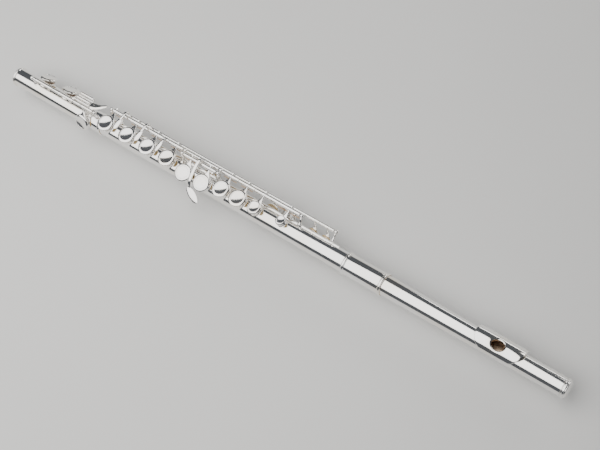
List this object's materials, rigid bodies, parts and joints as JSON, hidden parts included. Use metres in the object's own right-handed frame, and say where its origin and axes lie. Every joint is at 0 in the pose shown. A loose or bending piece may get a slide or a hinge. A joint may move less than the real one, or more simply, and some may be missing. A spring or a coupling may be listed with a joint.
{
  "type": "concert flute",
  "caption": "Three-piece transverse flute: head joint with lip plate, keyed body with offset G keys, and foot joint, with working keys, rods, pads and adjustable stopper.",
  "frame": {"origin": "on the bore's axis at the foot joint's open end", "axes": "+X along the bore towards the crown, +Z the way the main key cups face, +Y the player's side, where the rods are"},
  "size_m": [0.67, 0.0466, 0.0428],
  "materials": {
    "tube_silver": "polished silver plate",
    "fitting_silver": "polished silver plate",
    "key_silver": "polished silver plate",
    "pad_skin": "waxed bladder skin over felt",
    "cork": "natural cork",
    "spring_bronze": "drawn wire",
    "steel": "ground and oiled",
    "brass": "plain turned"
  },
  "bodies": {
    "body_joint": {"body_tube": "tube_silver", "barrel": "tube_silver", "barrel_rings": "fitting_silver", "body_posts": "key_silver", "right_hand_steel": "steel", "left_hand_steel": "steel", "g_steel": "steel", "thumb_steel": "steel", "pivot_screws": "steel", "main_rib": "key_silver", "needle_springs": "spring_bronze"},
    "head_joint": {"headjoint_tube": "tube_silver", "lip_plate": "fitting_silver", "embouchure_riser": "fitting_silver"},
    "crown": {"crown": "fitting_silver"},
    "stopper": {"stopper_cork": "cork", "stopper_rod": "brass", "stopper_washer": "brass"},
    "foot_joint": {"foot_tube": "tube_silver", "foot_rings": "fitting_silver", "foot_posts": "key_silver"},
    "d_key": {"d_key": "key_silver", "d_pad": "pad_skin"},
    "e_key": {"e_key": "key_silver", "e_pad": "pad_skin"},
    "f_key": {"f_key": "key_silver", "f_pad": "pad_skin"},
    "f_sharp_key": {"f_sharp_key": "key_silver", "f_sharp_pad": "pad_skin"},
    "g_key": {"g_key": "key_silver", "g_pad": "pad_skin"},
    "a_key": {"a_key": "key_silver", "a_pad": "pad_skin"},
    "b_flat_key": {"b_flat_key": "key_silver", "b_flat_pad": "pad_skin"},
    "c_key": {"c_key": "key_silver", "c_pad": "pad_skin"},
    "g_sharp_key": {"g_sharp_key": "key_silver", "g_sharp_pad": "pad_skin"},
    "d_sharp_trill_key": {"d_sharp_trill_key": "key_silver", "d_sharp_trill_pad": "pad_skin", "d_sharp_trill_shaft": "steel"},
    "d_trill_key": {"d_trill_key": "key_silver", "d_trill_pad": "pad_skin"},
    "side_lever": {"side_lever": "key_silver", "side_lever_shaft": "steel"},
    "thumb_b_key": {"thumb_b_key": "key_silver", "thumb_b_pad": "pad_skin"},
    "thumb_b_flat_lever": {"thumb_b_flat_lever": "key_silver"},
    "e_flat_key": {"e_flat_key": "key_silver", "e_flat_pad": "pad_skin"},
    "c_sharp_key": {"c_sharp_key": "key_silver", "c_sharp_pad": "pad_skin", "c_sharp_roller_pin": "steel"},
    "c_foot_key": {"c_foot_key": "key_silver", "c_foot_pad": "pad_skin", "c_foot_shaft": "steel", "c_roller_pin": "steel"},
    "c_sharp_roller": {"c_sharp_roller": "key_silver"},
    "c_roller": {"c_roller": "key_silver"}
  },
  "joints": [
    {"name": "head_slide", "type": "slide", "parent": "body_joint", "child": "head_joint", "axis": [1, 0, 0], "range_m": [0, 0.015]},
    {"name": "crown_turn", "type": "hinge", "parent": "head_joint", "child": "crown", "pos_m": [0.664, 0, 0], "axis": [1, 0, 0], "range_deg": [-730, 730]},
    {"name": "stopper_travel", "type": "slide", "parent": "head_joint", "child": "stopper", "axis": [1, 0, 0], "range_m": [-0.002, 0.002]},
    {"name": "foot_turn", "type": "hinge", "parent": "body_joint", "child": "foot_joint", "pos_m": [0.122, 0, 0], "axis": [1, 0, 0], "range_deg": [-5, 5]},
    {"name": "d_key_press", "type": "hinge", "parent": "body_joint", "child": "d_key", "pos_m": [0.1367, 0.0163, 0.0122], "axis": [1, 0, 0], "range_deg": [0, 7], "stiffness_Nm_per_rad": 0.012, "springref_deg": -20.05},
    {"name": "e_key_press", "type": "hinge", "parent": "body_joint", "child": "e_key", "pos_m": [0.1662, 0.0163, 0.0122], "axis": [1, 0, 0], "range_deg": [0, 7], "stiffness_Nm_per_rad": 0.012, "springref_deg": -20.05},
    {"name": "f_key_press", "type": "hinge", "parent": "body_joint", "child": "f_key", "pos_m": [0.194, 0.0163, 0.0122], "axis": [1, 0, 0], "range_deg": [0, 7], "stiffness_Nm_per_rad": 0.012, "springref_deg": -20.05},
    {"name": "f_sharp_key_press", "type": "hinge", "parent": "body_joint", "child": "f_sharp_key", "pos_m": [0.2203, 0.0163, 0.0122], "axis": [1, 0, 0], "range_deg": [0, 7], "stiffness_Nm_per_rad": 0.012, "springref_deg": -20.05},
    {"name": "a_key_press", "type": "hinge", "parent": "body_joint", "child": "a_key", "pos_m": [0.2907, 0.0163, 0.0122], "axis": [1, 0, 0], "range_deg": [0, 7], "stiffness_Nm_per_rad": 0.012, "springref_deg": -20.05},
    {"name": "b_flat_key_press", "type": "hinge", "parent": "body_joint", "child": "b_flat_key", "pos_m": [0.3115, 0.0163, 0.0122], "axis": [1, 0, 0], "range_deg": [0, 7], "stiffness_Nm_per_rad": 0.012, "springref_deg": -20.05},
    {"name": "c_key_press", "type": "hinge", "parent": "body_joint", "child": "c_key", "pos_m": [0.332, 0.0163, 0.0122], "axis": [1, 0, 0], "range_deg": [0, 7], "stiffness_Nm_per_rad": 0.012, "springref_deg": -20.05},
    {"name": "g_key_press", "type": "hinge", "parent": "body_joint", "child": "g_key", "pos_m": [0.2451, 0.01174, 0.01664], "axis": [1, 0, 0], "range_deg": [0, 7], "stiffness_Nm_per_rad": 0.012, "springref_deg": -20.05},
    {"name": "g_sharp_press", "type": "hinge", "parent": "body_joint", "child": "g_sharp_key", "pos_m": [0.262, 0.0163, 0.0122], "axis": [1, 0, 0], "range_deg": [0, 6.5], "stiffness_Nm_per_rad": 0.012, "springref_deg": -20.05},
    {"name": "d_trill_press", "type": "hinge", "parent": "body_joint", "child": "d_trill_key", "pos_m": [0.389, 0.01939, 0.00904], "axis": [1, 0, 0], "range_deg": [0, 6.5], "stiffness_Nm_per_rad": 0.012, "springref_deg": -20.05},
    {"name": "d_sharp_trill_press", "type": "hinge", "parent": "body_joint", "child": "d_sharp_trill_key", "pos_m": [0.404, 0.01939, 0.00904], "axis": [1, 0, 0], "range_deg": [0, 6.5], "stiffness_Nm_per_rad": 0.012, "springref_deg": -20.05},
    {"name": "side_lever_press", "type": "hinge", "parent": "body_joint", "child": "side_lever", "pos_m": [0.2069, 0.0163, 0.0122], "axis": [1, 0, 0], "range_deg": [0, 4], "stiffness_Nm_per_rad": 0.012, "springref_deg": -20.05},
    {"name": "thumb_b_press", "type": "hinge", "parent": "body_joint", "child": "thumb_b_key", "pos_m": [0.338, 0.02033, 0.00114], "axis": [-1, 0, 0], "range_deg": [0, 7], "stiffness_Nm_per_rad": 0.012, "springref_deg": -20.05},
    {"name": "thumb_b_flat_press", "type": "hinge", "parent": "body_joint", "child": "thumb_b_flat_lever", "pos_m": [0.358, 0.02033, 0.00114], "axis": [-1, 0, 0], "range_deg": [0, 5], "stiffness_Nm_per_rad": 0.012, "springref_deg": -20.05},
    {"name": "e_flat_press", "type": "hinge", "parent": "foot_joint", "child": "e_flat_key", "pos_m": [0.1069, 0.00266, 0.02019], "axis": [-1, 0, 0], "range_deg": [0, 6.5], "stiffness_Nm_per_rad": 0.012, "springref_deg": -20.05},
    {"name": "c_foot_press", "type": "hinge", "parent": "foot_joint", "child": "c_foot_key", "pos_m": [0.0396, 0.00266, 0.02019], "axis": [-1, 0, 0], "range_deg": [0, 7], "stiffness_Nm_per_rad": 0.012, "springref_deg": -20.05},
    {"name": "c_sharp_press", "type": "hinge", "parent": "foot_joint", "child": "c_sharp_key", "pos_m": [0.0723, 0.00266, 0.02019], "axis": [-1, 0, 0], "range_deg": [0, 7], "stiffness_Nm_per_rad": 0.012, "springref_deg": -20.05},
    {"name": "c_sharp_roller_spin", "type": "hinge", "parent": "c_sharp_key", "child": "c_sharp_roller", "pos_m": [0.1018, 0.0089, 0.0209], "axis": [1, 0, 0], "continuous": true},
    {"name": "c_roller_spin", "type": "hinge", "parent": "c_foot_key", "child": "c_roller", "pos_m": [0.1018, 0.0146, 0.0184], "axis": [1, 0, 0], "continuous": true}
  ],
  "couplings": [
    {"joint": "crown_turn", "follows": "stopper_travel", "rad_per_m": 6283.2},
    {"joint": "f_sharp_key_press", "follows": "f_key_press", "ratio": 1},
    {"joint": "b_flat_key_press", "follows": "a_key_press", "ratio": 1},
    {"joint": "c_sharp_press", "follows": "c_foot_press", "ratio": 1}
  ]
}
